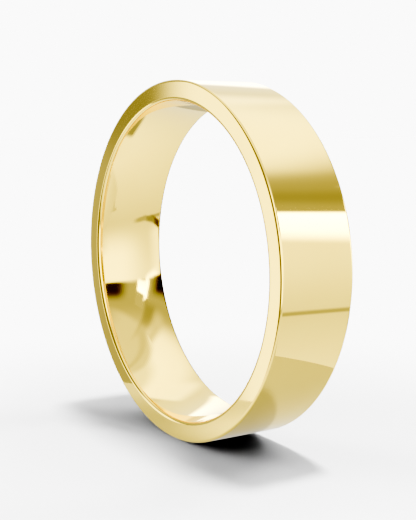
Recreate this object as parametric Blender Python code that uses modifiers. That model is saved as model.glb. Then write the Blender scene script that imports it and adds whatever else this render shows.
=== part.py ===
"""A plain flat wedding band with a comfort-fit bore, turned from one piece of yellow gold.

The ring stands on its rim: its axis is Y, +Z is up, and the origin is the centre of the finger hole.
The outside is a straight cylinder and the two sides are flat. The bore is slightly domed, so it is
narrowest at mid-width and opens towards both sides. All four edges are rounded.
"""

import math

import bpy

MM = 0.001

# Driving dimensions
OUTER_DIAMETER = 22.2 * MM
BORE_DIAMETER = 19.4 * MM          # at mid-width, where the bore is narrowest: US ring size 9 1/2
BAND_WIDTH = 5.0 * MM
BORE_DOME = 0.18 * MM              # how much further out the bore would meet the flat sides
OUTER_EDGE_RADIUS = 0.15 * MM
INNER_EDGE_RADIUS = 0.22 * MM

# Fineness of the turned surface
TURN_STEPS = 90                    # four times a whole number plus two, so a facet lies at the bottom
EDGE_SEGMENTS = 3
DOME_SEGMENTS = 8
MERGE_DISTANCE = 0.01 * MM

GOLD_COLOUR = (0.84, 0.67, 0.34, 1.0)
GOLD_ROUGHNESS = 0.12


def empty_scene():
    for obj in list(bpy.data.objects):
        bpy.data.objects.remove(obj, do_unlink=True)


def arc(centre, radius, start, end, segments):
    """Points on an arc in the (distance from the axis, position along it) plane, both ends included."""
    points = []
    for step in range(segments + 1):
        angle = start + (end - start) * step / segments
        points.append((centre[0] + radius * math.cos(angle), centre[1] + radius * math.sin(angle)))
    return points


def mirrored(points):
    """The same points on the other side of mid-width, in the order that carries on round the section."""
    return [(distance, -along) for distance, along in reversed(points)]


def outer_edge():
    """The rounded edge between the top side and the outside, running outwards and down."""
    centre = (OUTER_DIAMETER / 2 - OUTER_EDGE_RADIUS, BAND_WIDTH / 2 - OUTER_EDGE_RADIUS)
    return arc(centre, OUTER_EDGE_RADIUS, math.pi / 2, 0.0, EDGE_SEGMENTS)


def bore_and_inner_edges():
    """The domed bore with the rounded edge at each end of it, running from the bottom to the top."""
    half_width = BAND_WIDTH / 2
    dome_radius = (half_width ** 2 + BORE_DOME ** 2) / (2 * BORE_DOME)
    dome_centre = (BORE_DIAMETER / 2 + dome_radius, 0.0)

    # The edge's centre lies one edge radius below the flat side and one inside the dome's arc
    edge_along = half_width - INNER_EDGE_RADIUS
    reach = dome_radius - INNER_EDGE_RADIUS
    edge_centre = (dome_centre[0] - math.sqrt(reach ** 2 - edge_along ** 2), edge_along)
    tangent_angle = math.pi - math.asin(edge_along / reach)

    top_edge = arc(edge_centre, INNER_EDGE_RADIUS, tangent_angle, math.pi / 2, EDGE_SEGMENTS)
    dome = arc(dome_centre, dome_radius, 2 * math.pi - tangent_angle, tangent_angle, DOME_SEGMENTS)
    return mirrored(top_edge) + dome[1:-1] + top_edge


def band_section():
    """The closed outline of the metal: down the outside, then up the bore."""
    outside = outer_edge()
    return outside + mirrored(outside) + bore_and_inner_edges()


def polished_gold():
    material = bpy.data.materials.new("polished_yellow_gold")
    material.use_nodes = True
    shader = material.node_tree.nodes["Principled BSDF"]
    shader.inputs["Base Color"].default_value = GOLD_COLOUR
    shader.inputs["Metallic"].default_value = 1.0
    shader.inputs["Roughness"].default_value = GOLD_ROUGHNESS
    return material


def turned_ring(name, section, material, collection):
    """Spin a closed section about the object's Z, then lay that axis along Y."""
    vertices = [(distance, 0.0, along) for distance, along in section]
    edges = [(index, (index + 1) % len(section)) for index in range(len(section))]
    mesh = bpy.data.meshes.new(name)
    mesh.from_pydata(vertices, edges, [])
    mesh.materials.append(material)

    ring = bpy.data.objects.new(name, mesh)
    collection.objects.link(ring)
    ring.rotation_euler = (math.pi / 2, 0.0, 0.0)

    screw = ring.modifiers.new("turned", "SCREW")
    screw.axis = "Z"
    screw.angle = 2 * math.pi
    screw.steps = TURN_STEPS
    screw.render_steps = TURN_STEPS
    screw.use_merge_vertices = True
    screw.merge_threshold = MERGE_DISTANCE
    screw.use_smooth_shade = True
    return ring


def main():
    empty_scene()
    collection = bpy.data.collections.new("wedding_band")
    bpy.context.scene.collection.children.link(collection)
    turned_ring("band", band_section(), polished_gold(), collection)


main()
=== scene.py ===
"""Looks for the wedding band: one polished yellow gold ring on a plain white studio floor."""

import math

import bpy
from mathutils import Euler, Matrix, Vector


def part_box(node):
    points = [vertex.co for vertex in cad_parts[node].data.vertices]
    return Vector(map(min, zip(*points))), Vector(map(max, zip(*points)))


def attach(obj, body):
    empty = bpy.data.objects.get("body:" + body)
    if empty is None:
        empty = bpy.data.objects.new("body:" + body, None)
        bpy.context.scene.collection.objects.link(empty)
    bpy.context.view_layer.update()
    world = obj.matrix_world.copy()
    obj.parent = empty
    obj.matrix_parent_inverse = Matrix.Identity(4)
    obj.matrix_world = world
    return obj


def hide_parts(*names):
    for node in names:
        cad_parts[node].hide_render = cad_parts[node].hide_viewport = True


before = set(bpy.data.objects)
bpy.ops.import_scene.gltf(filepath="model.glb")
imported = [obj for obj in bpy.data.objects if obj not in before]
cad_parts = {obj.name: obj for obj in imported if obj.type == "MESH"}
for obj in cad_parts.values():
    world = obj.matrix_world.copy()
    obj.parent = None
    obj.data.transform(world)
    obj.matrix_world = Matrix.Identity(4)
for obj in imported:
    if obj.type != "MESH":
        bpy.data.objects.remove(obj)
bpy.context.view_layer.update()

MM = 0.001

# The ring, in the frame's own terms: axis along Y, centre of the bore at the origin, standing on -Z
RING_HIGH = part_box("band")[1]
OUTER_RADIUS = RING_HIGH.x
HALF_WIDTH = RING_HIGH.y
FLOOR_HEIGHT = -OUTER_RADIUS
BORE_RADIUS = 9.7 * MM
BORE_DOME = 0.18 * MM
OUTER_EDGE_RADIUS = 0.15 * MM
INNER_EDGE_RADIUS = 0.22 * MM

# Fineness of the turned surface. A face longer than LONG_FACE is kept flat in shading. The dome's rows are
# longer than that too, about 0.14 mm, so the dome is shaded as narrow flats.
TURN_STEPS = 720
DOME_ROWS = 32
EDGE_ROWS = 10
LONG_FACE = 0.1 * MM
SUPPORT_GAP = 0.006 * MM

# Pale yellow gold: its colour, and the slightly deeper tone it takes in places
GOLD = (0.95, 0.75, 0.152, 1.0)
DEEPER_GOLD = (0.938, 0.732, 0.143, 1.0)

# Roughness of the clean polish, and what each place and mark adds to it
MIRROR_ROUGHNESS = 0.03
SIDE_ROUGHNESS = 0.02
BORE_ROUGHNESS = 0.012
LINE_ROUGHNESS = 0.02
CLOUD_ROUGHNESS = 0.015
SCRATCH_ROUGHNESS = 0.03

# Where the two flat sides and the bore begin, in mm along the axis and out from it
SIDE_BEGINS = (2.30, 2.48)
BORE_BEGINS = (10.1, 9.8)

# The values of each noise pattern between which its mark or tone comes in
TONE_CLOUDS = (0.35, 0.7)
ROUGH_LINES = (0.5, 0.8)
ROUGH_CLOUDS = (0.5, 0.75)
SCRATCHED_PATCHES = (0.58, 0.7)

# Height of the buffing lines and of the surface's slow ripple, and depth of the scratches, in mm
LINE_HEIGHT = 0.00006
RIPPLE_HEIGHT = 0.0006
SCRATCH_DEPTH = 0.00006

# How quickly the buffing lines change across the band and round it, per mm
LINES_PER_MM = 26.0
LINE_STRETCH = 0.35

# A scratch lies where its noise comes this close to the middle value. It's drawn out across the band.
SCRATCH_LEVEL = 0.5
SCRATCH_EDGE = (0.0035, 0.001)
SCRATCH_STRETCH = 0.12

# Camera, from a least-squares fit to the ring's outlines: azimuth 0 looks along +Y and 90 along -X
CAMERA_AZIMUTH = 56.84
CAMERA_ELEVATION = 7.11
CAMERA_DISTANCE = 6.022 * OUTER_RADIUS
CAMERA_PAN = 56.755
CAMERA_PITCH = 7.129
LENS = 73.7
SENSOR_WIDTH = 36.0
NEAREST_SEEN = 0.005
FARTHEST_SEEN = 10.0

# What the polished metal mirrors: soft boxes, flags and gaps round the ring, in degrees as seen from it
# (azimuth 0 is +X, 90 is +Y) and in stops of light. Later panels cover earlier ones.
# across and up: where the panel starts and ends. soft: how wide its left, right, bottom and top edges fade.
# glow: stops at its bottom and its top. corner: radius of its corners. lean: rise per degree of azimuth.
# The values here, and the screens' and card's below, were chosen with the help of tables and maps of the
# photo's brightness traced back along the mirrored rays.
PANELS = (
    dict(name="back_wall", across=(92, 170), up=(16, 50), soft=(14, 6, 10, 8), glow=(0.4, 0.3)),
    dict(name="overhead_box", across=(54, 143), up=(45.5, 64), soft=(14, 3, 13, 8), glow=(1.1, 1.25)),
    dict(name="overhead_tail", across=(124, 143), up=(39, 56), soft=(10, 3, 8, 8), glow=(1.1, 1.2)),
    dict(name="ceiling", across=(20, 96), up=(29, 80), soft=(20, 20, 6, 4), glow=(0.0, 0.1), lean=0.43),
    dict(name="upper_shade", across=(41.5, 84), up=(66, 96.5), soft=(5, 14, 4, 22), glow=(-1.0, -1.2),
         lean=-1.07),
    dict(name="upper_dark", across=(43, 60), up=(78.5, 87), soft=(6, 10, 8, 8), glow=(-1.45, -1.45),
         lean=-1.07),
    dict(name="streak_high", across=(43, 92), up=(14, 20), soft=(5, 16, 5, 6), glow=(-0.3, -0.3), lean=0.74),
    dict(name="back_strip", across=(136, 152), up=(99, 118.5), soft=(3, 4, 6, 5), glow=(1.2, 2.3),
         lean=-0.67),
    dict(name="bar_right", across=(2, 24.5), up=(16, 29), soft=(4, 9, 2, 9), glow=(-4.3, -4.3)),
    dict(name="right_wall", across=(-8, 66), up=(-34, 21), soft=(4, 4, 3, 1.2), glow=(0.0, 0.65), lean=-0.14),
    dict(name="wall_glow", across=(4, 31), up=(-10, 18), soft=(10, 18, 24, 4), glow=(1.25, 1.3)),
    dict(name="wall_dim", across=(-8, 14), up=(-36, -2), soft=(4, 8, 3, 12), glow=(0.0, 0.3)),
    dict(name="gap_light", across=(37.8, 64), up=(56.5, 71.4), soft=(1.4, 4, 9, 3.4), glow=(2.5, 3.0),
         lean=-1.07),
    dict(name="viewer_dark", across=(-127, -60), up=(-28, 48), soft=(6, 10, 6, 14), glow=(-2.0, -2.0)),
    dict(name="viewer_light", across=(-46, -6), up=(-20, 44), soft=(8, 4, 6, 14), glow=(1.5, 1.5)),
    dict(name="front_gap", across=(-154, -146), up=(-24, 24), soft=(2, 3, 4, 6), glow=(-1.15, -1.15)),
    dict(name="front_gap_top", across=(-153, -146), up=(-1, 24), soft=(2, 3, 3, 6), glow=(-1.75, -1.75)),
    dict(name="front_box", across=(-145.2, -131), up=(-30, 24), soft=(2, 5, 4, 6), glow=(1.1, 1.1)),
    dict(name="front_box_top", across=(-148.6, -131), up=(-2.2, 24), soft=(2.4, 5, 4, 6), glow=(1.1, 1.1)),
    dict(name="front_dark", across=(-172, -153), up=(-30, 24), soft=(6, 3, 4, 6), glow=(-0.9, -0.9)),
)

# The room where no panel covers it, in the same degrees and stops: darker low down, lighter overhead
ROOM_HEIGHTS = (31.0, 65.0)
ROOM_GLOW = (-0.9, 0.55)

# The floor as the metal mirrors it, brighter towards the ring, and the thin dark line along its far edge
GROUND_EDGE = (-23.8, -25.0)
GROUND_HEIGHTS = (-24.0, -66.0)
GROUND_GLOW = (0.1, 0.75)
LINE_LEFT = (34.0, 39.0)
LINE_RIGHT = (84.0, 70.0)
LINE_TOP = (-21.6, -23.2)
LINE_GLOW = -0.95

# Brightness of the pale backdrop that the camera sees, which the lamps give the floor as well
BACKDROP = 2.38

# Unlit cloth is red-brown: its tint, and the light at which the tint starts and stops fading to neutral
DARK_TINT = (1.0, 0.12, 0.1)
TINT_FADES = (0.02, 0.3)

# Screens placed so that, seen from the photo's camera, only the inside of the band mirrors their panels.
# The panels are in ring radii: across is along X, and up is along Z on the two upright screens and along Y on
# the one that lies on the floor.
FAR_BEHIND = 2.0
FAR_SPAN = (-2.2, 2.4)
FAR_HEIGHTS = (-1.45, 2.6)
FAR_PANELS = (
    dict(name="wall_rim", across=(-2.0, 1.15), up=(-0.65, 0.35), soft=(0.2, 0.6, 0.35, 0.16),
         glow=(0.95, 1.0)),
    dict(name="inner_ceiling", across=(0.4, 0.86), up=(1.3, 3.2), soft=(0.4, 0.5, 0.7, 0.2),
         glow=(-0.15, 0.1)),
    dict(name="streak", across=(1.0, 1.48), up=(0.9, 2.1), soft=(0.35, 0.35, 0.3, 0.8), glow=(-1.5, -1.3)),
    dict(name="shade", across=(-2.0, 1.42), up=(0.04, 0.9), soft=(0.2, 0.2, 0.14, 0.5), glow=(-1.05, -0.9),
         lean=0.38),
    dict(name="over_strip", across=(1.6, 2.3), up=(0.55, 1.4), soft=(0.3, 0.1, 0.1, 0.1),
         glow=(-0.75, -0.7), lean=0.3),
    dict(name="strip", across=(1.5, 2.2), up=(0.49, 1.01), soft=(0.12, 0.2, 0.2, 0.12), glow=(2.2, 3.0),
         lean=0.15, corner=0.12),
    dict(name="flag_fringe", across=(-2.0, 1.18), up=(0.06, 0.58), soft=(0.3, 0.3, 0.16, 0.3),
         glow=(-1.9, -1.9), lean=0.33),
    dict(name="flag", across=(-2.0, 1.0), up=(0.06, 0.5), soft=(0.3, 0.24, 0.14, 0.26), glow=(-7.0, -6.0),
         lean=0.33, corner=0.14),
    dict(name="shelf", across=(-1.8, 0.45), up=(-0.5, -0.28), soft=(0.2, 0.3, 0.1, 0.1), glow=(-3.2, -3.2)),
    dict(name="corner_dark", across=(0.2, 1.0), up=(-0.1, 0.13), soft=(0.3, 0.2, 0.1, 0.1),
         glow=(-3.0, -3.0), lean=-0.9),
    dict(name="corner_line", across=(0.9, 1.4), up=(-0.41, -0.23), soft=(0.1, 0.3, 0.12, 0.1),
         glow=(-1.5, -1.5), lean=-0.55),
    dict(name="skirting", across=(1.3, 2.1), up=(-0.76, -0.6), soft=(0.1, 0.6, 0.12, 0.1),
         glow=(-0.9, -0.9), lean=-0.3),
)
NEAR_BEHIND = 0.26
NEAR_RADIUS = 0.995
NEAR_STEPS = 96
NEAR_PANELS = (
    dict(name="floor_bounce", across=(-0.1, 0.8), up=(-1.1, -0.46), soft=(0.12, 0.12, 0.1, 0.12),
         glow=(0.5, 0.1)),
)
REAR_SPAN = (-1.8, -0.5)
REAR_DEPTH = (0.24, 0.9)
# contact_shade is a painted shadow: the ring's dark contact shadow on the floor behind it, as the bore
# mirrors it.
REAR_PANELS = (
    dict(name="contact_shade", across=(-1.7, -0.8), up=(-0.2, 0.245), soft=(0.3, 0.16, 0.1, 0.07),
         glow=(-1.2, -1.4), lean=-0.33),
)

# The white floor: its half-size in metres, and the shade painted on it towards the ring, with distances in
# ring radii
FLOOR_REACH = 1.5
FLOOR_ALBEDO = 0.8
NEAR_FLOOR = 0.9
FAR_FLOOR = 3.2
PAINTED_SHADE_SHARE = 0.79
PAPER_GRAIN = (0.996, 1.0)

# The grey card that the metal mirrors in place of the floor, with corners and positions in ring radii.
# Its own glow is painted light: it goes from one CARD_GLOW value to the other across CARD_RIGHT_END.
# CARD_NEARER_GLOW is added towards the viewer, past CARD_NEARER, and falls to CARD_LEFT_SHARE of itself left
# of CARD_MIDDLE.
CARD_CORNERS = (
    (-1.9, -0.33), (-1.27, -0.64), (-0.45, -1.04), (0.3, -1.4), (2.4, -0.64), (1.29, 0.39),
    (0.95, 0.705), (0.85, 0.62), (0.2, 0.4), (0.0, 0.24), (-0.3, 0.0), (-1.3, -0.1),
)
CARD_LIFT = 0.01 * MM
CARD_GREY = (0.17, 0.17, 0.17, 1.0)
CARD_RIGHT_END = (0.9, 0.3)
CARD_GLOW = (0.34, 0.52)
CARD_NEARER = (-0.12, -0.6)
CARD_MIDDLE = (-0.4, 0.1)
CARD_LEFT_SHARE = 0.1
CARD_NEARER_GLOW = 0.55

# Lights that fall on the floor: azimuth, elevation, angular width (degrees) and share of the floor's light.
# These values are rounded from a least-squares fit to the floor's brightness in the photo, made by another
# program.
LAMPS = (
    ("overhead", 77, 81, 9, 0.51),
    ("overhead_edge", 55, 63, 18, 0.065),
    ("ceiling_fill", -160, 79, 68, 0.13),
    ("back", 92, 40, 23, 0.12),
    ("back_low", 88, 24, 29, 0.035),
    ("back_left", 129, 44, 17, 0.025),
    ("left_low", -130, 18, 38, 0.095),
    ("right", 8, 45, 9, 0.02),
)


# ---------------------------------------------------------------- node helpers

class Nodes:
    """Short ways to add nodes and wire them up."""

    def __init__(self, tree):
        self.tree = tree
        tree.nodes.clear()

    def add(self, kind, **settings):
        """A new node with the given settings."""
        node = self.tree.nodes.new(kind)
        for name, value in settings.items():
            setattr(node, name, value)
        return node

    def put(self, value, socket):
        """Feeds a socket from another socket, or sets its value."""
        if isinstance(value, bpy.types.NodeSocket):
            self.tree.links.new(value, socket)
        else:
            socket.default_value = value

    def math(self, operation, first, second=None):
        """One sum on one or two values."""
        node = self.add("ShaderNodeMath", operation=operation)
        self.put(first, node.inputs[0])
        if second is not None:
            self.put(second, node.inputs[1])
        return node.outputs[0]

    def product(self, first, *others):
        """All the values multiplied together."""
        for value in others:
            first = self.math("MULTIPLY", first, value)
        return first

    def total(self, first, *others):
        """All the values added up."""
        for value in others:
            first = self.math("ADD", first, value)
        return first

    def length(self, first, second):
        """Length of a vector with these two parts."""
        return self.math("SQRT", self.total(self.math("POWER", first, 2.0), self.math("POWER", second, 2.0)))

    def blend(self, factor, low, high):
        """low where factor is 0, high where it is 1."""
        node = self.add("ShaderNodeMix", data_type="FLOAT")
        self.put(factor, node.inputs[0])
        self.put(low, node.inputs[2])
        self.put(high, node.inputs[3])
        return node.outputs[0]

    def rise(self, value, start, end, low=0.0, high=1.0, shape="SMOOTHSTEP"):
        """Goes from low at start to high at end: smoothly, or in a straight line if shape is LINEAR."""
        node = self.add("ShaderNodeMapRange", interpolation_type=shape)
        self.put(value, node.inputs["Value"])
        self.put(start, node.inputs["From Min"])
        self.put(end, node.inputs["From Max"])
        self.put(low, node.inputs["To Min"])
        self.put(high, node.inputs["To Max"])
        return node.outputs["Result"]

    def edge(self, value, position, softness, side):
        """1 past the position on the given side (1 above, -1 below), fading across it."""
        half = self.math("MULTIPLY", softness, 0.5 * side)
        start = self.math("SUBTRACT", position, half)
        return self.rise(value, start, self.math("ADD", position, half))

    def past_corner(self, value, low, high, radius):
        """How far a value is beyond the straight part of a side with rounded ends."""
        below = self.math("SUBTRACT", self.math("ADD", low, radius), value)
        above = self.math("SUBTRACT", value, self.math("SUBTRACT", high, radius))
        return self.math("MAXIMUM", self.math("MAXIMUM", below, above), 0.0)

    def noise(self, place, scale, detail, roughness):
        """Soft random values between 0 and 1, the same on every run."""
        node = self.add("ShaderNodeTexNoise")
        self.put(place, node.inputs["Vector"])
        node.inputs["Scale"].default_value = scale
        node.inputs["Detail"].default_value = detail
        node.inputs["Roughness"].default_value = roughness
        return node.outputs["Fac"]

    def split(self, vector):
        """The X, Y and Z of a vector."""
        node = self.add("ShaderNodeSeparateXYZ")
        self.put(vector, node.inputs[0])
        return node.outputs["X"], node.outputs["Y"], node.outputs["Z"]

    def join(self, x, y, z):
        """A vector from its X, Y and Z."""
        node = self.add("ShaderNodeCombineXYZ")
        for value, socket in zip((x, y, z), node.inputs):
            self.put(value, socket)
        return node.outputs[0]

    def colour(self, red, green, blue):
        """A colour from its three channels."""
        node = self.add("ShaderNodeCombineColor")
        for value, socket in zip((red, green, blue), node.inputs):
            self.put(value, socket)
        return node.outputs[0]

    def both(self, first, second):
        """Two shaders added up."""
        node = self.add("ShaderNodeAddShader")
        self.put(first, node.inputs[0])
        self.put(second, node.inputs[1])
        return node.outputs[0]

    def finish(self, shader, output="ShaderNodeOutputMaterial"):
        """Makes a shader the surface that the whole tree gives."""
        self.put(shader, self.add(output).inputs["Surface"])


def new_material(name):
    """A material with nothing in it yet, and its nodes."""
    material = bpy.data.materials.new(name)
    material.use_nodes = True
    return material, Nodes(material.node_tree)


# ---------------------------------------------------------------- shape of the band

def arc(centre, radius, start, end, rows):
    """Points along an arc, both ends included."""
    points = []
    for row in range(rows + 1):
        angle = start + (end - start) * row / rows
        points.append((centre[0] + radius * math.cos(angle), centre[1] + radius * math.sin(angle)))
    return points


def mirrored(points):
    """The same outline on the other side of the band, in the order that continues it."""
    return [(distance, -along) for distance, along in reversed(points)]


def bore_and_inner_edges():
    """The domed bore with a rounded edge at each end, from -Y to +Y."""
    dome_radius = (HALF_WIDTH ** 2 + BORE_DOME ** 2) / (2 * BORE_DOME)
    dome_centre = (BORE_RADIUS + dome_radius, 0.0)
    edge_along = HALF_WIDTH - INNER_EDGE_RADIUS
    reach = dome_radius - INNER_EDGE_RADIUS
    edge_centre = (dome_centre[0] - math.sqrt(reach ** 2 - edge_along ** 2), edge_along)
    tangent = math.pi - math.asin(edge_along / reach)
    edge = arc(edge_centre, INNER_EDGE_RADIUS, tangent, math.pi / 2, EDGE_ROWS)
    dome = arc(dome_centre, dome_radius, 2 * math.pi - tangent, tangent, DOME_ROWS)
    return mirrored(edge) + dome[1:-1] + edge


def band_section():
    """The closed outline of the metal as (distance from the axis, position along it)."""
    centre = (OUTER_RADIUS - OUTER_EDGE_RADIUS, HALF_WIDTH - OUTER_EDGE_RADIUS)
    edge = arc(centre, OUTER_EDGE_RADIUS, math.pi / 2, 0.0, EDGE_ROWS)
    middle = [(OUTER_RADIUS, 0.0)]
    return with_support_rows(edge + middle + mirrored(edge) + bore_and_inner_edges())


def with_support_rows(points):
    """Adds a row close to each end of every long face, so that smooth shading leaves it truly flat."""
    result = []
    for index, here in enumerate(points):
        after = points[(index + 1) % len(points)]
        result.append(here)
        length = math.dist(here, after)
        if length > LONG_FACE:
            for share in (SUPPORT_GAP / length, 1 - SUPPORT_GAP / length):
                result.append(tuple(a + (b - a) * share for a, b in zip(here, after)))
    return result


def turned_band(material):
    """The finished ring: the section spun about Y in fine steps."""
    section = band_section()
    count = len(section)
    vertices = []
    for step in range(TURN_STEPS):
        angle = 2 * math.pi * step / TURN_STEPS
        for distance, along in section:
            vertices.append((distance * math.cos(angle), along, distance * math.sin(angle)))
    faces = []
    for step in range(TURN_STEPS):
        here = step * count
        there = (step + 1) % TURN_STEPS * count
        for index in range(count):
            after = (index + 1) % count
            faces.append((here + index, there + index, there + after, here + after))
    mesh = bpy.data.meshes.new("band_polished")
    mesh.from_pydata(vertices, [], faces)
    mesh.shade_smooth()
    mesh.materials.append(material)
    ring = bpy.data.objects.new("band_polished", mesh)
    bpy.context.scene.collection.objects.link(ring)
    return ring


# ---------------------------------------------------------------- gold

def ring_position(nodes):
    """Where a point lies on the band: its turn angle, and in mm along the axis and out from it."""
    place = nodes.split(nodes.add("ShaderNodeTexCoord").outputs["Object"])
    x, y, z = (nodes.math("DIVIDE", part, MM) for part in place)
    return nodes.math("ARCTAN2", z, x), y, nodes.length(x, z)


def around(nodes, turn, along, out, stretch):
    """A place in texture space that closes on itself round the ring, so that no seam shows."""
    reach = nodes.product(out, stretch)
    x = nodes.product(nodes.math("COSINE", turn), reach)
    z = nodes.product(nodes.math("SINE", turn), reach)
    return nodes.join(x, along, z)


def buffing_lines(nodes, turn, along, out):
    """Hair-fine lines that run round the band, left by the last buffing."""
    across = nodes.total(nodes.product(along, LINES_PER_MM), nodes.product(out, LINES_PER_MM))
    return nodes.noise(around(nodes, turn, across, out, LINE_STRETCH), scale=1.0, detail=3.0, roughness=0.6)


def hairline_scratches(nodes, turn, along, out, lean, scale):
    """A few thin scratches, slanted across the band: 1 on a scratch, 0 off it."""
    x = nodes.product(nodes.math("COSINE", turn), out)
    z = nodes.product(nodes.math("SINE", turn), out)
    slanted = nodes.total(nodes.product(x, lean), along)
    place = nodes.join(slanted, nodes.product(along, SCRATCH_STRETCH), z)
    field = nodes.noise(place, scale, detail=1.0, roughness=0.4)
    gap = nodes.math("ABSOLUTE", nodes.math("SUBTRACT", field, SCRATCH_LEVEL))
    thin = nodes.rise(gap, *SCRATCH_EDGE)
    patch = nodes.noise(nodes.join(x, along, z), scale=0.9, detail=1.0, roughness=0.5)
    return nodes.product(thin, nodes.rise(patch, *SCRATCHED_PATCHES))


def gold_colour(nodes, place):
    """Gold with soft clouds of a deeper tone."""
    clouds = nodes.noise(place, scale=0.22, detail=3.0, roughness=0.55)
    mix = nodes.add("ShaderNodeMix", data_type="RGBA")
    nodes.put(nodes.rise(clouds, *TONE_CLOUDS), mix.inputs[0])
    mix.inputs[6].default_value = GOLD
    mix.inputs[7].default_value = DEEPER_GOLD
    return mix.outputs[2]


def gold_roughness(nodes, along, out, lines, clouds, scratches):
    """Near mirror; a touch softer on the two flat sides and in the bore, and along every mark."""
    side = nodes.rise(nodes.math("ABSOLUTE", along), *SIDE_BEGINS)
    inside = nodes.rise(out, *BORE_BEGINS)
    return nodes.total(
        MIRROR_ROUGHNESS,
        nodes.product(side, SIDE_ROUGHNESS),
        nodes.product(inside, BORE_ROUGHNESS),
        nodes.product(nodes.rise(lines, *ROUGH_LINES), LINE_ROUGHNESS),
        nodes.product(nodes.rise(clouds, *ROUGH_CLOUDS), CLOUD_ROUGHNESS),
        nodes.product(scratches, SCRATCH_ROUGHNESS),
    )


def gold_bump(nodes, place, lines, scratches):
    """The surface's direction, moved a little by the lines, the ripple and the scratches."""
    ripple = nodes.noise(place, scale=0.28, detail=1.0, roughness=0.4)
    height = nodes.total(nodes.product(lines, LINE_HEIGHT), nodes.product(ripple, RIPPLE_HEIGHT))
    height = nodes.math("SUBTRACT", height, nodes.product(scratches, SCRATCH_DEPTH))
    bump = nodes.add("ShaderNodeBump")
    bump.inputs["Strength"].default_value = 1.0
    bump.inputs["Distance"].default_value = MM
    nodes.put(height, bump.inputs["Height"])
    return bump.outputs[0]


def gold():
    """Mirror-polished pale yellow gold with the faint marks that buffing and wear leave."""
    material, nodes = new_material("polished_gold")
    turn, along, out = ring_position(nodes)
    place = around(nodes, turn, along, out, 1.0)
    lines = buffing_lines(nodes, turn, along, out)
    clouds = nodes.noise(place, scale=0.5, detail=4.0, roughness=0.6)
    first = hairline_scratches(nodes, turn, along, out, lean=0.7, scale=0.8)
    second = hairline_scratches(nodes, turn, along, out, lean=-1.1, scale=1.3)
    scratches = nodes.math("MAXIMUM", first, second)
    shader = nodes.add("ShaderNodeBsdfPrincipled")
    shader.inputs["Metallic"].default_value = 1.0
    nodes.put(gold_colour(nodes, place), shader.inputs["Base Color"])
    nodes.put(gold_roughness(nodes, along, out, lines, clouds, scratches), shader.inputs["Roughness"])
    nodes.put(gold_bump(nodes, place, lines, scratches), shader.inputs["Normal"])
    nodes.finish(shader.outputs[0])
    return material


# ---------------------------------------------------------------- panels of light

PANEL_INPUTS = (
    "Across", "Up", "Light", "Covered", "Left", "Right", "Bottom", "Top",
    "Soft Left", "Soft Right", "Soft Bottom", "Soft Top",
    "Corner", "Corner Reach", "Corner Soft", "Lean", "Glow Bottom", "Glow Top",
)

# A panel with square corners has these for its rounding, so wide that they cut off next to nothing
NO_CORNER_REACH = 30.0
NO_CORNER_SOFT = 60.0

# Light is never divided by less cover than this
LEAST_COVER = 0.001


def panel_group():
    """A reusable node: lays one soft-edged panel over the light that comes in."""
    tree = bpy.data.node_groups.new("soft_panel", "ShaderNodeTree")
    nodes = Nodes(tree)
    for name in PANEL_INPUTS:
        tree.interface.new_socket(name, in_out="INPUT", socket_type="NodeSocketFloat")
    for name in ("Light", "Covered"):
        tree.interface.new_socket(name, in_out="OUTPUT", socket_type="NodeSocketFloat")
    given = nodes.add("NodeGroupInput").outputs
    left, right, bottom, top = given["Left"], given["Right"], given["Bottom"], given["Top"]
    across = given["Across"]
    up = nodes.math("SUBTRACT", given["Up"], nodes.product(given["Lean"], across))
    past_side = nodes.past_corner(across, left, right, given["Corner"])
    past_end = nodes.past_corner(up, bottom, top, given["Corner"])
    cover = nodes.product(
        nodes.edge(across, left, given["Soft Left"], 1),
        nodes.edge(across, right, given["Soft Right"], -1),
        nodes.edge(up, bottom, given["Soft Bottom"], 1),
        nodes.edge(up, top, given["Soft Top"], -1),
        nodes.edge(nodes.length(past_side, past_end), given["Corner Reach"], given["Corner Soft"], -1),
    )
    stops = nodes.rise(up, bottom, top, given["Glow Bottom"], given["Glow Top"])
    light = nodes.blend(cover, given["Light"], nodes.math("POWER", 2.0, stops))
    result = nodes.add("NodeGroupOutput")
    nodes.put(light, result.inputs["Light"])
    nodes.put(nodes.blend(cover, given["Covered"], 1.0), result.inputs["Covered"])
    return tree


def panel_values(panel):
    """The group node's settings for one panel."""
    values = dict(zip(("Left", "Right"), panel["across"]))
    values.update(zip(("Bottom", "Top"), panel["up"]))
    values.update(zip(("Soft Left", "Soft Right", "Soft Bottom", "Soft Top"), panel["soft"]))
    values.update(zip(("Glow Bottom", "Glow Top"), panel["glow"]))
    values["Corner"] = panel.get("corner", 0.0)
    values["Corner Reach"] = panel.get("corner", NO_CORNER_REACH)
    values["Corner Soft"] = panel["soft"][1] if "corner" in panel else NO_CORNER_SOFT
    values["Lean"] = panel.get("lean", 0.0)
    return values


def lay_panels(nodes, panels, across, up, light):
    """Lays the panels over a light, first to last. Gives the light, and how far it is covered (0 to 1)."""
    group = bpy.data.node_groups.get("soft_panel") or panel_group()
    covered = 0.0
    for panel in panels:
        node = nodes.add("ShaderNodeGroup", node_tree=group, name=panel["name"], label=panel["name"])
        nodes.put(across, node.inputs["Across"])
        nodes.put(up, node.inputs["Up"])
        nodes.put(light, node.inputs["Light"])
        nodes.put(covered, node.inputs["Covered"])
        for name, value in panel_values(panel).items():
            node.inputs[name].default_value = value
        light = node.outputs["Light"]
        covered = node.outputs["Covered"]
    return light, covered


def warm_dark(nodes, light):
    """Tint of the studio: neutral where it is lit, red-brown in its unlit cloth."""
    return nodes.colour(*(nodes.rise(light, *TINT_FADES, share, 1.0) for share in DARK_TINT))


# ---------------------------------------------------------------- the room

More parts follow.
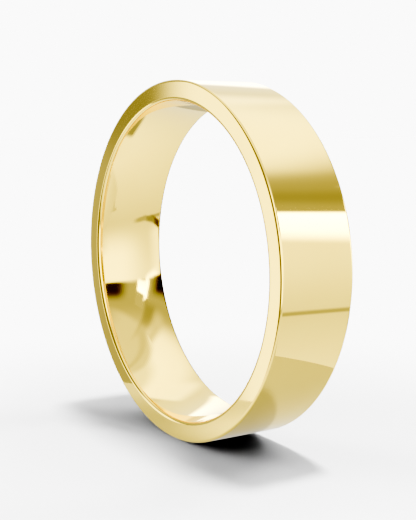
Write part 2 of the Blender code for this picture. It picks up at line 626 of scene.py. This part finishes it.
def studio_light(nodes, azimuth, elevation):
    """Brightness of the studio in a direction."""
    room = nodes.math("POWER", 2.0, nodes.rise(elevation, *ROOM_HEIGHTS, *ROOM_GLOW))
    light, _ = lay_panels(nodes, PANELS, azimuth, elevation, room)
    line = nodes.product(
        nodes.rise(azimuth, *LINE_LEFT),
        nodes.rise(azimuth, *LINE_RIGHT),
        nodes.rise(elevation, *LINE_TOP),
    )
    light = nodes.blend(line, light, 2.0 ** LINE_GLOW)
    ground = nodes.math("POWER", 2.0, nodes.rise(elevation, *GROUND_HEIGHTS, *GROUND_GLOW, shape="LINEAR"))
    return nodes.blend(nodes.rise(elevation, *GROUND_EDGE), light, ground)


def studio_world():
    """The plain backdrop for the camera and the studio for the metal. It doesn't light the floor."""
    world = bpy.data.worlds.new("studio")
    bpy.context.scene.world = world
    world.use_nodes = True
    world.cycles_visibility.diffuse = False
    nodes = Nodes(world.node_tree)
    x, y, z = nodes.split(nodes.add("ShaderNodeTexCoord").outputs["Generated"])
    azimuth = nodes.product(nodes.math("ARCTAN2", y, x), math.degrees(1.0))
    elevation = nodes.product(nodes.math("ARCSINE", z), math.degrees(1.0))
    seen = nodes.add("ShaderNodeLightPath").outputs["Is Camera Ray"]
    light = studio_light(nodes, azimuth, elevation)
    background = nodes.add("ShaderNodeBackground")
    nodes.put(nodes.blend(seen, light, BACKDROP), background.inputs["Strength"])
    nodes.put(warm_dark(nodes, nodes.blend(seen, light, 1.0)), background.inputs["Color"])
    nodes.finish(background.outputs[0], "ShaderNodeOutputWorld")


def plane(name, corners, material):
    """A flat stage piece with the given corners, in metres."""
    mesh = bpy.data.meshes.new(name)
    mesh.from_pydata(corners, [], [tuple(range(len(corners)))])
    mesh.materials.append(material)
    obj = bpy.data.objects.new(name, mesh)
    bpy.context.scene.collection.objects.link(obj)
    return obj


def hide_but_mirror(obj):
    """Leaves an object to the reflections alone."""
    obj.visible_camera = False
    obj.visible_diffuse = False
    obj.visible_shadow = False


def floor_material():
    """White paper with a faint grain, and painted shade near the ring in place of the room light it blocks.
    """
    material, nodes = new_material("floor_white")
    position = nodes.add("ShaderNodeNewGeometry").outputs["Position"]
    distance = nodes.add("ShaderNodeVectorMath", operation="DISTANCE")
    nodes.put(position, distance.inputs[0])
    distance.inputs[1].default_value = (0.0, 0.0, FLOOR_HEIGHT)
    start, end = NEAR_FLOOR * OUTER_RADIUS, FAR_FLOOR * OUTER_RADIUS
    # Painted shade: the paper's colour is darker close to the ring.
    near = nodes.rise(distance.outputs["Value"], start, end, PAINTED_SHADE_SHARE, 1.0)
    in_mm = nodes.add("ShaderNodeVectorMath", operation="SCALE")
    nodes.put(position, in_mm.inputs[0])
    in_mm.inputs["Scale"].default_value = 1.0 / MM
    grain = nodes.noise(in_mm.outputs[0], scale=1.5, detail=3.0, roughness=0.6)
    albedo = nodes.product(near, nodes.rise(grain, 0.2, 0.8, *PAPER_GRAIN), FLOOR_ALBEDO)
    shader = nodes.add("ShaderNodeBsdfDiffuse")
    nodes.put(nodes.colour(albedo, albedo, albedo), shader.inputs["Color"])
    nodes.finish(shader.outputs[0])
    return material


def card_material():
    """Grey card that takes the lamps' shadows, with painted light: a glow of its own, strongest on the
    viewer's side.
    """
    material, nodes = new_material("card_grey")
    shade = nodes.add("ShaderNodeBsdfDiffuse")
    shade.inputs["Color"].default_value = CARD_GREY
    x, y, _ = nodes.split(nodes.add("ShaderNodeNewGeometry").outputs["Position"])
    start, end = (radii * OUTER_RADIUS for radii in CARD_RIGHT_END)
    # Painted light: the card glows by itself, more under the ring and towards the viewer.
    under_ring = nodes.rise(x, start, end, *CARD_GLOW)
    start, end = (radii * OUTER_RADIUS for radii in CARD_NEARER)
    nearer = nodes.rise(y, start, end)
    start, end = (radii * OUTER_RADIUS for radii in CARD_MIDDLE)
    right = nodes.rise(x, start, end, CARD_LEFT_SHARE, 1.0)
    strength = nodes.total(under_ring, nodes.product(nearer, right, CARD_NEARER_GLOW))
    glow = nodes.add("ShaderNodeEmission")
    nodes.put(strength, glow.inputs["Strength"])
    nodes.finish(nodes.both(shade.outputs[0], glow.outputs[0]))
    return material


def studio_floor():
    """A wide white floor, and the smaller card that the polished metal mirrors in its place."""
    signs = ((-1, -1), (1, -1), (1, 1), (-1, 1))
    corners = [(FLOOR_REACH * x, FLOOR_REACH * y, FLOOR_HEIGHT) for x, y in signs]
    floor = plane("floor", corners, floor_material())
    floor.visible_glossy = False
    height = FLOOR_HEIGHT + CARD_LIFT
    outline = [(x * OUTER_RADIUS, y * OUTER_RADIUS, height) for x, y in CARD_CORNERS]
    hide_but_mirror(plane("floor_card", outline, card_material()))


# ---------------------------------------------------------------- screens for the bore

def rectangle(across, along, place):
    """Four corners in metres; place turns (across, along) in ring radii into a point in ring radii."""
    corners = []
    for side, end in ((0, 0), (1, 0), (1, 1), (0, 1)):
        corners.append(Vector(place(across[side], along[end])) * OUTER_RADIUS)
    return corners


def disc(radius, behind):
    """The rim of an upright disc behind the ring, in metres from sizes in ring radii."""
    rim = []
    for step in range(NEAR_STEPS):
        angle = 2 * math.pi * step / NEAR_STEPS
        rim.append(Vector((math.cos(angle) * radius, behind, math.sin(angle) * radius)) * OUTER_RADIUS)
    return rim


def screen_material(name, panels, up_axis):
    """Panels that glow or block the light, on cloth that is otherwise see-through."""
    material, nodes = new_material(name)
    position = nodes.split(nodes.add("ShaderNodeNewGeometry").outputs["Position"])
    across = nodes.math("DIVIDE", position[0], OUTER_RADIUS)
    up = nodes.math("DIVIDE", position["XYZ".index(up_axis)], OUTER_RADIUS)
    light, covered = lay_panels(nodes, panels, across, up, 0.0)
    own_light = nodes.math("DIVIDE", light, nodes.math("MAXIMUM", covered, LEAST_COVER))
    glow = nodes.add("ShaderNodeEmission")
    nodes.put(light, glow.inputs["Strength"])
    nodes.put(warm_dark(nodes, own_light), glow.inputs["Color"])
    clear = nodes.math("SUBTRACT", 1.0, covered)
    cloth = nodes.add("ShaderNodeBsdfTransparent")
    nodes.put(nodes.colour(clear, clear, clear), cloth.inputs["Color"])
    nodes.finish(nodes.both(glow.outputs[0], cloth.outputs[0]))
    return material


def bore_screens():
    """The screens for the inside of the band: clear wherever no panel covers them."""
    far = rectangle(FAR_SPAN, FAR_HEIGHTS, lambda x, z: (x, FAR_BEHIND, z))
    hide_but_mirror(plane("far_screen", far, screen_material("far_cloth", FAR_PANELS, "Z")))
    near = disc(NEAR_RADIUS, NEAR_BEHIND)
    hide_but_mirror(plane("near_screen", near, screen_material("near_cloth", NEAR_PANELS, "Z")))
    # The rear screen lies on the floor and carries a painted shadow.
    above_card = -1.0 + 2 * CARD_LIFT / OUTER_RADIUS
    rear = rectangle(REAR_SPAN, REAR_DEPTH, lambda x, y: (x, y, above_card))
    hide_but_mirror(plane("rear_screen", rear, screen_material("rear_painted_shadow", REAR_PANELS, "Y")))


# ---------------------------------------------------------------- lamps and camera

def towards(azimuth, elevation):
    """Unit vector that points in a direction given in degrees."""
    a, e = math.radians(azimuth), math.radians(elevation)
    return Vector((math.cos(a) * math.cos(e), math.sin(a) * math.cos(e), math.sin(e)))


def floor_lamp(name, azimuth, elevation, width, share):
    """A far lamp with a share of the floor's light. The metal doesn't mirror it."""
    data = bpy.data.lights.new(name, "SUN")
    data.angle = math.radians(width)
    data.energy = math.pi * BACKDROP / FLOOR_ALBEDO * share / math.sin(math.radians(elevation))
    lamp = bpy.data.objects.new(name, data)
    lamp.rotation_mode = "QUATERNION"
    lamp.rotation_quaternion = towards(azimuth, elevation).to_track_quat("Z", "Y")
    lamp.visible_glossy = False
    lamp.visible_camera = False
    bpy.context.scene.collection.objects.link(lamp)


def camera():
    """The photo's viewpoint."""
    a, e = math.radians(CAMERA_AZIMUTH), math.radians(CAMERA_ELEVATION)
    back = Vector((math.sin(a) * math.cos(e), -math.cos(a) * math.cos(e), math.sin(e)))
    data = bpy.data.cameras.new("camera")
    data.lens = LENS
    data.sensor_width = SENSOR_WIDTH
    data.clip_start = NEAREST_SEEN
    data.clip_end = FARTHEST_SEEN
    cam = bpy.data.objects.new("camera", data)
    cam.location = back * CAMERA_DISTANCE
    cam.rotation_euler = Euler((math.radians(90 - CAMERA_PITCH), 0.0, math.radians(CAMERA_PAN)))
    bpy.context.scene.collection.objects.link(cam)
    bpy.context.scene.camera = cam


def main():
    """Sets up the studio and puts the polished band in place of the CAD one."""
    scene = bpy.context.scene
    scene.view_settings.view_transform = "AgX"
    scene.view_settings.look = "AgX - Very High Contrast"
    scene.cycles.caustics_reflective = False
    camera()
    studio_world()
    studio_floor()
    bore_screens()
    for lamp in LAMPS:
        floor_lamp(*lamp)
    ring = turned_band(gold())
    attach(ring, "root")
    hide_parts("band")


main()
